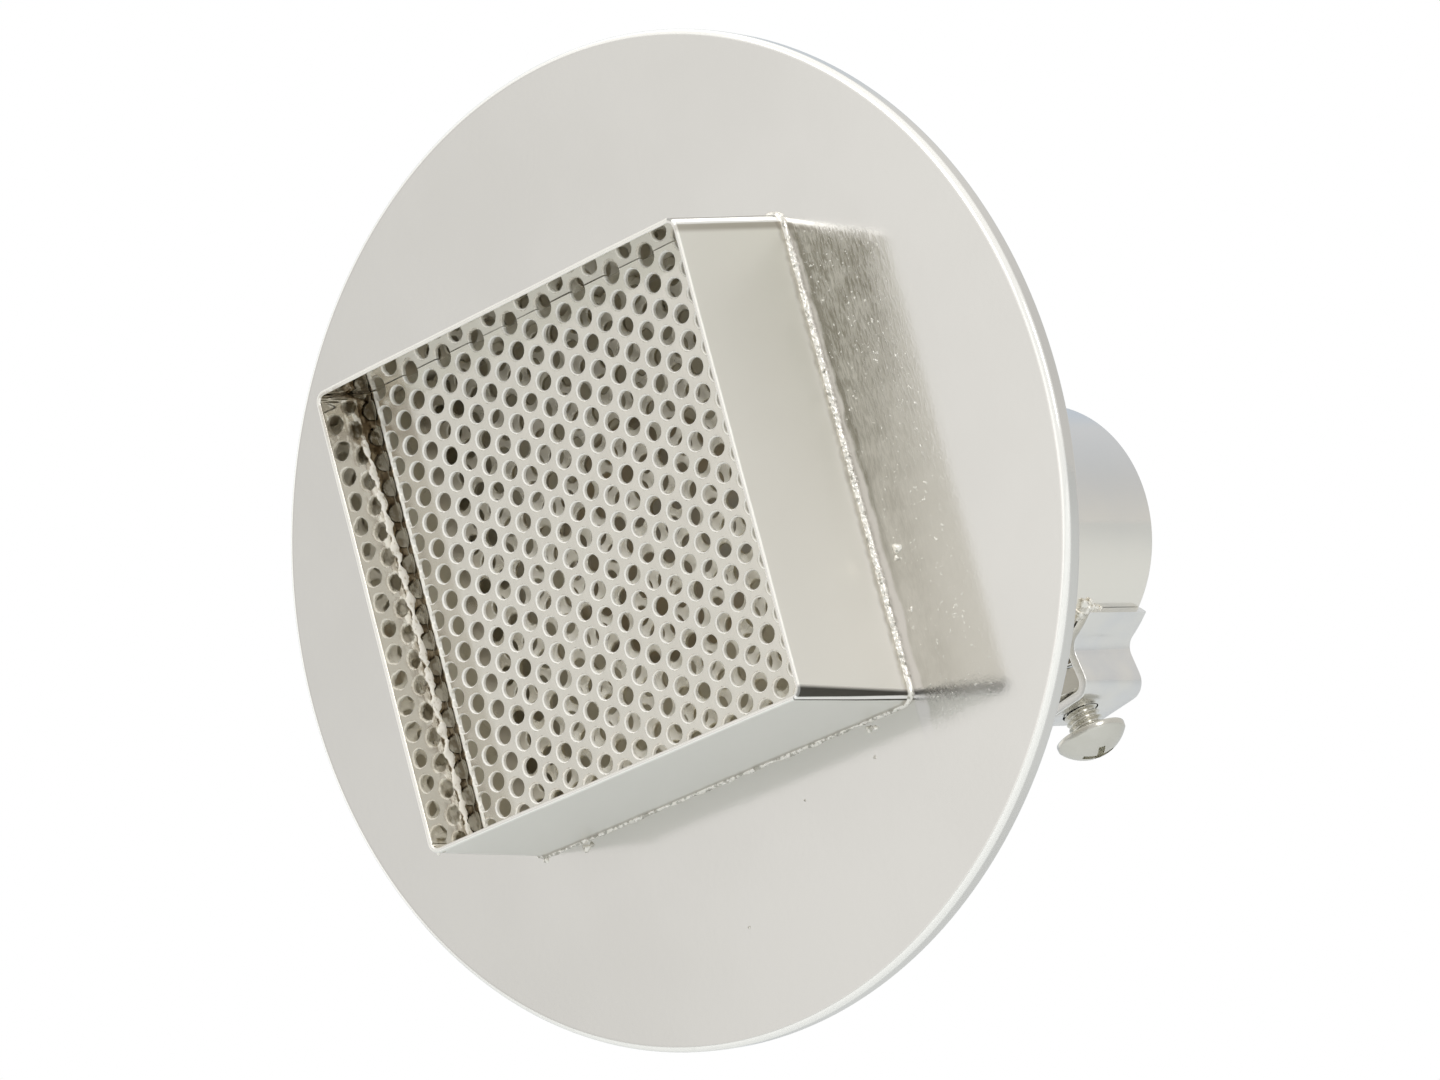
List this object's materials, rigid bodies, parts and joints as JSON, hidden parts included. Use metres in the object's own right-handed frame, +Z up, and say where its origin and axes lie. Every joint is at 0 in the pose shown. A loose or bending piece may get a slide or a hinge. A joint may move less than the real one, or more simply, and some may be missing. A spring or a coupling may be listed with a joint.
{
  "type": "hot air nozzle",
  "caption": "Square-mouthed hot air nozzle: a round flange with a screened sheet box in front and, behind, a tube that a screw clamps to a heater pipe.",
  "frame": {"origin": "centre of the tube's open rear end", "axes": "+Y along the tube, out of its open end, so the mouth faces -Y; +Z up, square to the box's top; +X to the right seen from the mouth"},
  "size_m": [0.08, 0.0625, 0.08],
  "materials": {
    "flange": "satin nickel plate on steel plate",
    "box_sheet": "bright nickel plate on thin steel sheet",
    "screen": "nickel plate on perforated steel sheet",
    "tube": "satin nickel plate on steel tube",
    "strip": "nickel plate on steel strip",
    "fastener": "nickel plated steel",
    "braze": "plated braze metal, lumpy"
  },
  "bodies": {
    "nozzle": {"flange_plate": "flange", "outlet_box": "box_sheet", "front_screen": "screen", "rear_screen": "screen", "inlet_tube": "tube", "clamp_bridge": "strip", "clamp_nut": "fastener", "box_braze": "braze", "tube_braze": "braze", "bridge_braze": "braze"},
    "screw": {"clamp_screw": "fastener"}
  },
  "joints": [
    {"name": "screw_turn", "type": "hinge", "parent": "nozzle", "child": "screw", "pos_m": [0.00299, -0.005, -0.01788], "axis": [-0.165, 0, 0.9863], "range_deg": [-2088, 1656]}
  ]
}
